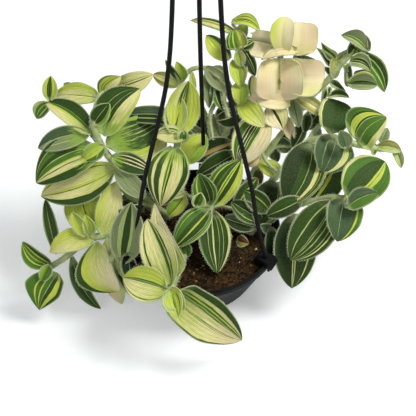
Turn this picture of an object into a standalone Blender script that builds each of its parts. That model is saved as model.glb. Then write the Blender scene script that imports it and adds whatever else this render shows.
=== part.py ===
"""Hanging potted tradescantia: a shallow plastic pot on a three-strand hanger.

World origin: the inner top of the hook, where the rod or nail that carries the pot bears.
+Z is up, +X is to the right and -Y is the front of the plant.  Every number in the tables
below is in millimetres from the middle of the pot's rim, and MM turns it into metres.
"""
import math

import bmesh
import bpy
from mathutils import Matrix, Vector

MM = 0.001

# Driving dimensions
RIM_DROP = 300          # hook bearing point down to the top of the pot's rim
RIM_RADIUS = 60         # a 12 cm pot
RIM_HEIGHT = 5
RIM_WIDTH = 3
RIM_SLACK = 0.4         # how far the wall below the rim stands in from it
RIM_ROUND = 1           # rounding of the rim's two top edges
BASE_RADIUS = 43
BASE_BEVEL = 4          # how far up the wall turns in to the floor
POT_DEPTH = 50
WALL = 1.6
DRAIN_HOLES = 4
DRAIN_RADIUS = 3.5
DRAIN_CIRCLE = 28
SOIL_TOP = -5.5         # level of the soil in the middle of the pot
SOIL_EDGE = -7.5        # level where it meets the wall
SOIL_SHOULDER = 50      # radius out to which the soil lies level
GAP = 0.3               # clearance between pieces that touch

STRAND_DIAMETER = 3
STRAND_BEARINGS = {"back": 87, "left": 207, "right": 327}   # degrees round from +X
# One strand from its clip up to the hub: radius from the axis, height above the rim
STRAND_ROUTE = [(56.5, 4.7), (54.6, 10), (47.4, 38), (42.3, 66), (34.7, 96), (27.2, 124),
                (22, 146), (18.4, 170), (16.2, 195), (14.6, 218), (11.8, 238), (8.2, 251.6)]
STRAND_POINTS = 30
CLIP_WIDTH = 9
CLIP_DROP = 4.6         # how far the clip's two jaws reach below the rim's top
CLIP_CLEARANCE = 0.6
CLIP_INNER_WALL = 6
CLIP_OUTER_WALL = 1.8
CLIP_CROWN = 4          # top of the clip above the rim
CLIP_EAR = 1.8

HUB_BOTTOM = 252
HUB_RADIUS = 11
HUB_HEIGHT = 7
HOOK_DIAMETER = 4
HOOK_BEND = 11          # radius of the hook's bend at the middle of its wire

STEM_RADIUS = 2.4
STEM_TIP_RADIUS = 1.7
STEM_STEP = 7           # distance between the points of a stem
LEAF_THICKNESS = 1.0
LEAF_GAP = 0.45         # clearance at a leaf's base, where the stem may bend towards it
LEAF_CUP = 0.12         # how far a leaf's edges rise, as a share of its half width
LEAF_TIP_WIDTH = 0.8
LEAF_ACROSS = 4         # grid squares across a leaf, and along it
LEAF_ALONG = 7
BASE_SAMPLES = (-1, -0.5, 0, 0.5, 1)    # places across a leaf's base that are kept off the stem
SEAT_STEP = 0.1         # how far a base moves out at a time until it is clear

# Leaf outlines: width of the base and place of the widest point, both as shares of the
# whole, and the two powers that shape the run from there to the tip
OUTLINES = {
    "ovate": (0.34, 0.44, 2.2, 0.80),
    "heart": (0.80, 0.30, 2.0, 0.72),
    "lance": (0.45, 0.28, 1.35, 1.0),
    "blunt": (0.45, 0.55, 3.2, 0.60),
    "broad": (0.72, 0.40, 2.0, 0.85),
    "square": (0.70, 0.50, 5.0, 0.45),
    "rhomb": (0.45, 0.45, 1.35, 0.95),
    "drop": (0.62, 0.20, 1.4, 1.05),
}

# Each shoot: the route of its stem, then its leaves.  A leaf's row gives the point it grows
# from, its tip, its width, the way its upper face looks, how far it arches towards that
# face, how far it sweeps towards its right-hand edge, and its outline.
SHOOTS = {
    "left_high": (
        [(-25, 14, -2), (-36, 17, 8), (-50, 22, 26), (-63, 28, 41), (-71, 34, 52),
         (-76, 42, 65), (-75, 56, 71), (-70, 70, 72)],
        [
            ((-70, 33, 49), (-117, 14, 34), 28, (0, -1, 2), 4, 4, "ovate"),
            ((-59, 22, 40), (-116, 9, 25), 29, (0, -1, 2), 3, -4, "ovate"),
            ((-69, 34, 50), (-28, 71, 42), 34, (0, -1, 1.2), 4, 6, "ovate"),
            ((-72, 35, 55), (-44, 66, 74), 19, (0, -1, 2), 4, -3, "ovate"),
            ((-78, 38, 59), (-113, 65, 66), 16, (0, -1, 2), 3, 3, "ovate"),
            ((-74, 66, 70), (-110, 75, 65), 17, (0, -1, 2), 3, 1, "ovate"),
        ]),
    "crest": (
        [(-12, 27, -2), (-14, 30, 8), (-17, 36, 26), (-17, 42, 42), (-14, 55, 50),
         (-13, 70, 60), (-14, 84, 68)],
        [
            ((-13, 51, 45), (-8, 70, 82), 25, (0, -1, 0), -3, 0, "ovate"),
            ((-19, 37, 46), (-29, 2, 22), 30, (0, -1, 2), 6, 0, "ovate"),
        ]),
    "centre": (
        [(8, 14, -2), (8, 11, 6), (8, 4, 18)],
        [
            ((2, 3, 20), (-1, 17, 40), 17.5, (0, -1, 0.5), 2, 0, "ovate"),
            ((7, -3, 22), (-18, -26, 9), 20, (0, -1, 2), 4, 0, "ovate"),
            ((16, 5, 11), (11, -41, 1), 23, (0, -1, 3), 5, 0, "ovate"),
            ((14, 6, 13), (30, 36, 34), 22, (0, -1, 2), 3, -1, "ovate"),
        ]),
    "front": (
        [(-10, -22, -2), (-11, -28, 2), (-14, -42, 6), (-18, -56, 7), (-20, -63, 8)],
        [
            ((-27, -56, 8), (-36, -27, 42), 23, (0, -1, 0.6), 2, 0, "ovate"),
            ((-13, -54, 7), (-32, -11, 40), 21, (0, -1, 0.8), 2, -2, "drop"),
            ((-20, -65, 10), (-53, -54, 12), 25, (0, -1, 1), 4, 1, "ovate"),
            ((-19, -62, 8), (30, -83, -25), 35, (0, -1, 0.6), 5, 1, "broad"),
        ]),
    "left_low": (
        [(-28, -8, -2), (-34, -9, 3), (-50, -11, 7), (-66, -13, 7), (-78, -15, 6),
         (-90, -19, -1), (-100, -24, -7), (-109, -28, -11)],
        [
            ((-78, -12, 8), (-91, 23, 24), 28, (0, -1, 0.7), 0, 0, "ovate"),
            ((-78, -12, 10), (-108, -26, 4), 17, (0, -1, 2), 5, 3, "ovate"),
            ((-76, -15, 6), (-60, -38, -28), 28, (0, -1, 0.8), 6, 9, "ovate"),
            ((-97, -18, -4), (-75, -44, -44), 11, (0, -1, 0.8), 3, 4, "ovate"),
            ((-107, -27, -10), (-117, -49, -36), 27, (0, -1, 0.8), 4, 0, "rhomb"),
        ]),
    "left_inner": (
        [(-38, 22, -2), (-42, 24, 5), (-52, 28, 15), (-62, 34, 28), (-72, 44, 38),
         (-81, 52, 46)],
        [
            ((-57, 30, 22), (-26, 30, 25), 18, (0, -1, 1), 2, 0, "ovate"),
        ]),
    "pale": (
        [(20, 36, -2), (23, 42, 6), (34, 54, 28), (47, 64, 48), (56, 74, 64), (59, 84, 78),
         (59, 92, 90)],
        [
            ((59, 93, 95), (61, 104, 114), 17, (0, -1, 0.3), 2, 0, "square"),
            ((63, 93, 87), (85, 110, 100), 17, (0, -1, 0.6), 2, 1.5, "blunt"),
            ((55, 91, 86), (58, 69, 64), 18, (0, -1, 1), 4, 6, "ovate"),
            ((61, 79, 82), (91, 76, 80), 26, (0, -1, 1), 3, 3, "blunt"),
            ((51, 69, 48), (28, 36, 30), 27, (0, -1, 2), 4, 0, "ovate"),
        ]),
    "top": (
        [(4, 40, -2), (7, 45, 8), (17, 58, 32), (28, 74, 56), (31, 83, 71), (28, 92, 84),
         (30, 102, 98)],
        [
            ((37, 104, 102), (-7, 114, 102), 8, (0, -1, 1), 3, 0, "ovate"),
            ((28, 76, 58), (47, 51, 54), 15, (0, -1, 1), 4, 0, "ovate"),
        ]),
    "far_right": (
        [(28, 30, -2), (33, 35, 5), (54, 56, 28), (76, 71, 54), (94, 79, 74),
         (104, 85, 86), (113, 91, 93)],
        [
            ((114, 98, 98), (138, 76, 66), 13, (0, -1, 1), 2, -2, "ovate"),
        ]),
    "right_high": (
        [(34, 14, -2), (39, 18, 4), (58, 33, 22), (78, 45, 42), (94, 44, 51),
         (105, 36, 54), (120, 36, 49), (134, 37, 45)],
        [
            ((114, 34, 55), (134, 46, 69), 24, (0, -1, 2), 3, -3, "heart"),
            ((101, 42, 57), (89, 18, 40), 30, (0, -1, 1), 3, -1, "heart"),
            ((97, 52, 50), (103, 72, 61), 25, (0, -1, 1), 2, 0, "blunt"),
            ((80, 50, 44), (63, 1, 24), 28, (0, -1, 2), 5, 0, "ovate"),
            ((54, 30, 20), (44, -6, 6), 19, (0, -1, 2), 3, 0, "ovate"),
        ]),
    "right_low": (
        [(38, -1, -2), (43, 0, 3), (56, 3, 10), (74, 5, 21), (92, 3, 30), (105, -3, 36)],
        [
            ((104, -3, 36), (97, -29, 20), 25, (0, -1, 1), 3, 0, "heart"),
            ((96, 3, 30), (64, -32, 4), 31, (0, -1, 2), 4, -1, "ovate"),
            ((67, 3, 22), (67, -41, -17), 29, (0, -1, 1.5), 6, -1, "ovate"),
            ((108, -5, 34), (136, 29, 46), 30, (0, -1, 2), 3, 0.5, "ovate"),
        ]),
}

COLOURS = {
    "pot_plastic": (0.020, 0.020, 0.022),
    "hanger_plastic": (0.010, 0.010, 0.011),
    "soil": (0.060, 0.035, 0.018),
    "stem": (0.36, 0.44, 0.20),
    "left_high": (0.42, 0.45, 0.20),
    "crest": (0.46, 0.50, 0.18),
    "centre": (0.12, 0.24, 0.07),
    "front": (0.58, 0.60, 0.28),
    "left_low": (0.48, 0.52, 0.22),
    "left_inner": (0.20, 0.28, 0.12),
    "pale": (0.68, 0.60, 0.40),
    "top": (0.42, 0.50, 0.16),
    "far_right": (0.20, 0.30, 0.12),
    "right_high": (0.11, 0.20, 0.08),
    "right_low": (0.09, 0.18, 0.06),
}


def clear_scene():
    for thing in list(bpy.data.objects):
        bpy.data.objects.remove(thing, do_unlink=True)


def add_collection(name):
    collection = bpy.data.collections.new(name)
    bpy.context.scene.collection.children.link(collection)
    return collection


def add_material(name, colour, roughness):
    material = bpy.data.materials.new(name)
    material.use_nodes = True
    shader = material.node_tree.nodes["Principled BSDF"]
    shader.inputs["Base Color"].default_value = (*colour, 1.0)
    shader.inputs["Roughness"].default_value = roughness
    shader.inputs["Metallic"].default_value = 0.0
    return material


def add_object(name, data, material, parent=None):
    thing = bpy.data.objects.new(name, data)
    PARTS.objects.link(thing)
    data.materials.append(material)
    thing.parent = parent
    return thing


def turned(name, profile, material, steps, parent=None):
    """A solid of revolution from (radius, height) points in mm, which run from axis to axis."""
    mesh = bpy.data.meshes.new(name)
    build = bmesh.new()
    points = [build.verts.new((r * MM, 0, z * MM)) for r, z in profile]
    for lower, upper in zip(points, points[1:]):
        build.edges.new((lower, upper))
    build.to_mesh(mesh)
    build.free()
    thing = add_object(name, mesh, material, parent)
    screw = thing.modifiers.new("turn", "SCREW")
    screw.axis = "Z"
    screw.steps = steps
    screw.render_steps = steps
    screw.use_merge_vertices = True
    screw.merge_threshold = 0.00005
    screw.use_smooth_shade = True
    return thing


def smooth_route(points, count):
    """Points spaced evenly along a Catmull-Rom curve through the given ones."""
    knots = [Vector(p) for p in points]
    knots = [2 * knots[0] - knots[1], *knots, 2 * knots[-1] - knots[-2]]
    fine = []
    for a, b, c, d in zip(knots, knots[1:], knots[2:], knots[3:]):
        for step in range(20):
            t = step / 20
            fine.append(0.5 * (2 * b + (c - a) * t + (2 * a - 5 * b + 4 * c - d) * t * t
                               + (3 * b - a - 3 * c + d) * t ** 3))
    fine.append(knots[-2])
    reach = [0.0]
    for a, b in zip(fine, fine[1:]):
        reach.append(reach[-1] + (b - a).length)
    route, place = [], 0
    for index in range(count):
        wanted = reach[-1] * index / (count - 1)
        while place < len(fine) - 2 and reach[place + 1] < wanted:
            place += 1
        share = (wanted - reach[place]) / (reach[place + 1] - reach[place])
        route.append(fine[place].lerp(fine[place + 1], share))
    return route


def rod(name, route, start_radius, end_radius, material, parent):
    """A round bar along a route in mm, tapering evenly from one end to the other."""
    curve = bpy.data.curves.new(name, "CURVE")
    curve.dimensions = "3D"
    curve.bevel_depth = MM
    curve.bevel_resolution = 2
    curve.use_fill_caps = True
    spline = curve.splines.new("POLY")
    spline.points.add(len(route) - 1)
    for index, point in enumerate(route):
        share = index / (len(route) - 1)
        spline.points[index].co = (*(point * MM), 1.0)
        spline.points[index].radius = start_radius + (end_radius - start_radius) * share
    spline.use_smooth = True
    return add_object(name, curve, material, parent)


def make_pot(parent):
    """Tapered bowl with a stout rim and drain holes in its floor."""
    inner_rim = RIM_RADIUS - RIM_WIDTH
    neck = RIM_RADIUS - RIM_WIDTH + WALL
    profile = [
        (0, WALL - POT_DEPTH),
        (BASE_RADIUS - BASE_BEVEL, WALL - POT_DEPTH),
        (BASE_RADIUS - WALL, BASE_BEVEL - POT_DEPTH),
        (inner_rim - RIM_SLACK, -RIM_HEIGHT),
        (inner_rim, -RIM_ROUND),
        (inner_rim + RIM_ROUND, 0),
        (RIM_RADIUS - RIM_ROUND, 0),
        (RIM_RADIUS, -RIM_ROUND),
        (RIM_RADIUS, RIM_ROUND / 2 - RIM_HEIGHT),
        (RIM_RADIUS - RIM_ROUND / 2, -RIM_HEIGHT),
        (neck, -RIM_HEIGHT - RIM_ROUND / 2),
        (BASE_RADIUS, BASE_BEVEL - POT_DEPTH),
        (BASE_RADIUS - BASE_BEVEL / 2, -POT_DEPTH),
        (0, -POT_DEPTH),
    ]
    material = add_material("pot_plastic", COLOURS["pot_plastic"], 0.45)
    pot = turned("pot", profile, material, 48, parent)
    for index in range(DRAIN_HOLES):
        turn = 2 * math.pi * (index + 0.5) / DRAIN_HOLES
        bpy.ops.mesh.primitive_cylinder_add(vertices=16, radius=DRAIN_RADIUS * MM, depth=8 * MM)
        drill = bpy.context.object
        drill.name = f"drain_drill_{index + 1}"
        drill.parent = parent
        drill.location = Vector((DRAIN_CIRCLE * math.cos(turn), DRAIN_CIRCLE * math.sin(turn),
                                 -POT_DEPTH)) * MM
        drill.hide_render = True
        drill.display_type = "WIRE"
        for collection in list(drill.users_collection):
            collection.objects.unlink(drill)
        CUTTERS.objects.link(drill)
        hole = pot.modifiers.new(drill.name, "BOOLEAN")
        hole.object = drill
        hole.operation = "DIFFERENCE"
        hole.solver = "EXACT"
    return pot


def make_soil(parent):
    """The potting mix, a clearance inside the pot's wall and floor."""
    floor = WALL + GAP - POT_DEPTH
    inner_rim = RIM_RADIUS - RIM_WIDTH
    slope = (inner_rim - RIM_SLACK - BASE_RADIUS + WALL) / (POT_DEPTH - BASE_BEVEL - RIM_HEIGHT)
    edge = inner_rim - RIM_SLACK - slope * (-RIM_HEIGHT - SOIL_EDGE) - 2 * GAP
    profile = [
        (0, floor),
        (BASE_RADIUS - BASE_BEVEL - 2 * GAP, floor),
        (BASE_RADIUS - WALL - 2 * GAP, BASE_BEVEL - POT_DEPTH),
        (edge, SOIL_EDGE),
        (SOIL_SHOULDER, SOIL_TOP),
        (0, SOIL_TOP),
    ]
    material = add_material("soil", COLOURS["soil"], 0.95)
    return turned("soil", profile[::-1], material, 48, parent)


def make_clip(name, bearing, material, parent):
    """A jaw that snaps over the rim: two legs, a crown between them and an ear outside."""
    inner = RIM_RADIUS - RIM_WIDTH - 2 * CLIP_CLEARANCE
    outer = RIM_RADIUS + CLIP_CLEARANCE
    back = inner - CLIP_INNER_WALL
    front = outer + CLIP_OUTER_WALL
    outline = [
        (back + 1, CLIP_CROWN), (back, CLIP_CROWN - 1), (back, -CLIP_DROP), (inner, -CLIP_DROP),
        (inner, GAP), (outer, GAP), (outer, -CLIP_DROP), (front, -CLIP_DROP), (front, -2.5),
        (front + CLIP_EAR, -1.5), (front + CLIP_EAR, 0.5), (front - 0.6, CLIP_CROWN),
    ]
    curve = bpy.data.curves.new(name, "CURVE")
    curve.dimensions = "2D"
    curve.fill_mode = "BOTH"
    curve.extrude = CLIP_WIDTH / 2 * MM
    spline = curve.splines.new("POLY")
    spline.points.add(len(outline) - 1)
    for point, (radius, height) in zip(spline.points, outline):
        point.co = (radius * MM, height * MM, 0, 1)
    spline.use_cyclic_u = True
    clip = add_object(name, curve, material, parent)
    # The outline is drawn flat, so it is stood up and turned to its place on the rim
    clip.rotation_euler = (math.radians(90), 0, math.radians(bearing))
    return clip


def make_strand(name, bearing, material, parent):
    turn = math.radians(bearing)
    points = [(r * math.cos(turn), r * math.sin(turn), z) for r, z in STRAND_ROUTE]
    half = STRAND_DIAMETER / 2
    return rod(name, smooth_route(points, STRAND_POINTS), half, half, material, parent)


def make_hub(material, parent):
    """The button that the three strands run into, with a neck for the hook."""
    profile = [
        (0, HUB_BOTTOM + HUB_HEIGHT),
        (4, HUB_BOTTOM + HUB_HEIGHT),
        (6, HUB_BOTTOM + 4.5),
        (HUB_RADIUS, HUB_BOTTOM + 3),
        (HUB_RADIUS, HUB_BOTTOM + GAP),
        (0, HUB_BOTTOM + GAP),
    ]
    return turned("hanger_hub", profile, material, 32, parent)


def make_hook(material, parent):
    """A round-wire hook whose bend passes just above the origin of the part."""
    half = HOOK_DIAMETER / 2
    middle = RIM_DROP + half - HOOK_BEND
    route = [(0, 0, HUB_BOTTOM + HUB_HEIGHT + GAP), (0, 0, HUB_BOTTOM + HUB_HEIGHT + 5),
             (4, 0, HUB_BOTTOM + HUB_HEIGHT + 12)]
    for step in range(13):
        turn = math.radians(-25 + 225 * step / 12)
        route.append((HOOK_BEND * math.cos(turn), 0, middle + HOOK_BEND * math.sin(turn)))
    route.append((-9, 0, middle - 8))
    return rod("hanger_hook", smooth_route(route, 30), half, half, material, parent)


def outline_width(along, outline):
    """Half width of a leaf, as a share of its greatest, at a place along its length."""
    base, widest, power, fullness = OUTLINES[outline]
    if along < widest:
        return base + (1 - base) * math.sin(along / widest * math.pi / 2) ** 0.85
    rest = (along - widest) / (1 - widest)
    return max(0.0, 1 - rest ** power) ** fullness


def leaf_turn(base, tip, face):
    """The leaf's own axes: towards its right-hand edge, its tip and its upper face."""
    axis = (tip - base).normalized()
    normal = Vector(face)
    normal = (normal - axis * normal.dot(axis)).normalized()
    return axis.cross(normal), axis, normal


def seat(point, tip, face, half, route):
    """Where a leaf's base stands: beside its growing point, just clear of the stem's skin."""
    point = Vector(point)
    nearest = None
    for index, (a, b) in enumerate(zip(route, route[1:])):
        run = b - a
        share = max(0.0, min(1.0, (point - a).dot(run) / run.length_squared))
        spot = a + run * share
        if nearest is None or (point - spot).length < nearest[0]:
            grown = (index + share) / (len(route) - 1)
            nearest = ((point - spot).length, spot, run.normalized(), grown)
    _, spot, along, grown = nearest
    away = tip - spot
    away = (away - along * away.dot(along)).normalized()
    side, _, normal = leaf_turn(spot, tip, face)
    radius = STEM_RADIUS + (STEM_TIP_RADIUS - STEM_RADIUS) * grown
    clear = radius + LEAF_GAP + LEAF_THICKNESS / 2 * abs(normal.dot(away))
    out = clear
    # A base that lies askew to the stem stands further out, until no point of it is too near
    while min((away * out + side * half * x).cross(along).length for x in BASE_SAMPLES) < clear:
        out += SEAT_STEP
    return spot + away * out


def make_leaf(name, row, route, material, parent):
    """A blade shaped from a flat grid and then given its thickness."""
    point, tip, width, face, arch, sweep, outline = row
    tip = Vector(tip)
    base = seat(point, tip, face, width / 2 * outline_width(0, outline), route)
    length = (tip - base).length
    build = bmesh.new()
    bmesh.ops.create_grid(build, x_segments=LEAF_ACROSS, y_segments=LEAF_ALONG, size=0.5)
    for vert in build.verts:
        across, along = 2 * vert.co.x, vert.co.y + 0.5
        half = max(width * outline_width(along, outline), LEAF_TIP_WIDTH) / 2
        bend = 4 * along * (1 - along)
        vert.co = Vector((half * across + sweep * bend, length * along,
                          arch * bend + LEAF_CUP * half * across ** 2)) * MM
    mesh = bpy.data.meshes.new(name)
    build.to_mesh(mesh)
    build.free()
    leaf = add_object(name, mesh, material, parent)
    leaf.location = base * MM
    leaf.rotation_euler = Matrix(leaf_turn(base, tip, face)).transposed().to_euler()
    shell = leaf.modifiers.new("thickness", "SOLIDIFY")
    shell.thickness = LEAF_THICKNESS * MM
    shell.offset = 0
    mesh.shade_smooth()
    mesh.set_sharp_from_angle(angle=math.radians(50))
    return leaf


def make_shoot(name, route, leaves, parent):
    foot = Vector((*route[0][:2], SOIL_TOP + GAP))
    reach = sum(math.dist(a, b) for a, b in zip(route, route[1:]))
    fine = [foot, *smooth_route(route, max(5, round(reach / STEM_STEP)))]
    stem_material = add_material(f"{name}_stem", COLOURS["stem"], 0.6)
    rod(f"{name}_stem", fine, STEM_RADIUS, STEM_TIP_RADIUS, stem_material, parent)
    for index, row in enumerate(leaves):
        leaf_name = f"{name}_leaf_{index + 1}"
        leaf_material = add_material(leaf_name, COLOURS[name], 0.55)
        make_leaf(leaf_name, row, fine, leaf_material, parent)


clear_scene()
PARTS = add_collection("hanging_tradescantia")
CUTTERS = add_collection("cutters")

rim_centre = bpy.data.objects.new("rim_centre", None)
rim_centre.location = (0, 0, -RIM_DROP * MM)
PARTS.objects.link(rim_centre)

make_pot(rim_centre)
make_soil(rim_centre)
for side_name, side_bearing in STRAND_BEARINGS.items():
    black = add_material(f"hanger_plastic_{side_name}", COLOURS["hanger_plastic"], 0.5)
    make_clip(f"clip_{side_name}", side_bearing, black, rim_centre)
    make_strand(f"strand_{side_name}", side_bearing, black, rim_centre)
make_hub(add_material("hub_plastic", COLOURS["hanger_plastic"], 0.5), rim_centre)
make_hook(add_material("hook_plastic", COLOURS["hanger_plastic"], 0.5), rim_centre)
for shoot_name, (stem_route, leaf_rows) in SHOOTS.items():
    make_shoot(shoot_name, stem_route, leaf_rows, rim_centre)
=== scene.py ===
"""Looks of a hanging potted tradescantia: striped, hairy leaves over a black hanging pot.

Every place below is in millimetres from the middle of the pot's rim, whose own place comes
from the frame.  +X is to the right, -Y is the front of the plant and +Z is up.
"""
import math
import random
from collections import namedtuple

import bmesh
import bpy
from mathutils import Matrix, Vector, noise


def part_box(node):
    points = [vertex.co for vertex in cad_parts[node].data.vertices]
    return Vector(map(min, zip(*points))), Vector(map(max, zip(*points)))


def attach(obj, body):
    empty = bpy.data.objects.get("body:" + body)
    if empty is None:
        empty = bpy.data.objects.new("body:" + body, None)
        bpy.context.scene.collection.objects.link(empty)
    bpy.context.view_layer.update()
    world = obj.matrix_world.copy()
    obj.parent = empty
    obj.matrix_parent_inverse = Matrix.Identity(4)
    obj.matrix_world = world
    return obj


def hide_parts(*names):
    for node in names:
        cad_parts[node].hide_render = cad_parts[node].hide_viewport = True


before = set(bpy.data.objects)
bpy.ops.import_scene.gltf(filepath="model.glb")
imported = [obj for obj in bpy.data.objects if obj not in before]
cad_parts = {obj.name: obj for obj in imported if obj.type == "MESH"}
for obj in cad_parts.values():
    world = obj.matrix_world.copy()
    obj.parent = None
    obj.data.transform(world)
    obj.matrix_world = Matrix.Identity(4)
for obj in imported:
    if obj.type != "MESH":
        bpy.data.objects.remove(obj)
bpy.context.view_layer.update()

MM = 0.001
POT_LOW, POT_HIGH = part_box("pot")
RIM = Vector(((POT_LOW.x + POT_HIGH.x) / 2, (POT_LOW.y + POT_HIGH.y) / 2, POT_HIGH.z))

# ---------------------------------------------------------------- sizes, in millimetres
LEAF_ACROSS = 12        # faces across a leaf's blade, and along it
LEAF_ALONG = 30
LEAF_THICKNESS = 0.7
TIP_REACH = 1.6         # a CAD leaf's points lie this close together at its tip
FOOT_POINTS = 10        # and this many of them make its foot
GROOVE_DEPTH = 0.7      # groove along a leaf's middle, with its half-width as a share of the blade's
GROOVE_SHARE = 0.10
CLASP_SHARE = 0.14      # share of a leaf's length over which it closes round the stem
RIPPLE_SHARE = 0.03     # height of the waves along its edges as a share of its width, and the most
RIPPLE_MOST = 0.9
NARROWEST = 0.4         # width of a leaf at its very tip

MARGIN_HAIR = 1.3       # length, spacing and width of the hairs along a leaf's edge
MARGIN_SPACING = 0.4
MARGIN_HAIR_WIDTH = 0.16
STEM_HAIR = 2.0         # length of the hairs on a stem, their width, and how many to a millimetre
STEM_HAIR_WIDTH = 0.14
STEM_HAIR_COUNT = 14
TUFT_HAIRS = 45         # hairs round the foot of a leaf, and their width
TUFT_HAIR_WIDTH = 0.15

ROUTE_POINTS = 60       # places along a stalk that a leaf or a side stalk can grow from
STEM_STEP = 1.5         # length of a stem between the rings of its mesh
STEM_RADIUS = 2.3
STEM_TIP_RADIUS = 1.6
SIDE_STEM_TAPER = 0.8
NODE_SWELLING = 0.7     # how much thicker a stem is where a leaf grows

SOIL_TOP = -5.5         # level of the potting mix, and where it meets the pot's wall
SOIL_EDGE = -7.5
SOIL_SHOULDER = 50
SOIL_RADIUS = 55.3
SOIL_DEPTH = 6
SOIL_FACES = 90
SOIL_LUMPS = ((9, 0, 1.3), (2.6, 7, 0.7))       # size, layer of the noise, and height
CRUMBS = 620
CRUMB_KINDS = (50, 30, 14, 6)                   # shares of dark bark, bark, fibre and grit

# Sizes of the patterns in the materials
WAVE = math.tau / 20    # one wave of the wave texture at scale 1
STREAK = 0.12           # a streak's size across a blade as a share of its size along it
WAVER = 2.857           # how far apart the stripes' edges turn, across the blade
SMEAR = 1.111           # blotches where the stripes run out
MOTTLE = 0.625          # light and dark flecks in the flesh
NAP = 0.4545            # hairs on the blade; coarser than real ones, so that they show
SPECK_CELL = 4.0        # the room that each brown speck has
VEIN_SPACING = 1.122
RIDGE_SPACING = 2.992
STEM_MOTTLE = 5.556     # patches of paler flesh
HAIR_MOTTLE = 2.5       # hairs that catch more or less light
PLASTIC_SKIN = 1.111    # the mould's texture, coarser than the real one, so that it shows
PLASTIC_WEAR = 16.67    # rubbed patches
SOIL_PATCH = 14         # damper and drier patches
SOIL_GRAIN = 0.9
SWEEP_GLOW = 0.28       # glow of the paper sweep, for the camera and in gloss only

# Leaf outlines: width of the base and place of the widest point, both as shares of the
# whole, and the two powers that shape the run from there to the tip
OUTLINES = {
    "ovate": (0.34, 0.44, 2.2, 0.80),
    "heart": (0.80, 0.30, 2.0, 0.72),
    "lance": (0.45, 0.28, 1.35, 1.0),
    "blunt": (0.45, 0.55, 3.2, 0.60),
    "broad": (0.72, 0.40, 2.0, 0.85),
    "square": (0.70, 0.50, 5.0, 0.45),
    "rhomb": (0.45, 0.45, 1.35, 0.95),
    "drop": (0.62, 0.20, 1.4, 1.05),
}

# Leaf colours, sRGB
TINTS = {
    "deep": "#1F3112", "dark": "#2D4617", "green": "#476D24", "fresh": "#86A63C",
    "lime": "#B7C44F", "cream": "#D3D08F", "ivory": "#DED3AA", "pink": "#D6C29B",
    "pale": "#ABBB76", "olive": "#8C8B45", "grey": "#7C8960", "slate": "#42593A",
    "tan": "#AD8F58", "brown": "#6B4526",
}

# The colour that the pale parts of a leaf take on towards its stem, sRGB: most leaves', and
# those of the shoots that differ
STEM_GREEN = "#9DB042"
SHOOT_BASES = {"pale": "#D6CB90", "top": "#A9B848", "left_low": "#A4B24A"}

# How much of the pale bloom of hairs the leaves carry, and the more velvety shoots' leaves
BLOOM = 0.07
SHOOT_NAPS = {"right_high": 0.12, "right_low": 0.10, "far_right": 0.12}

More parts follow.
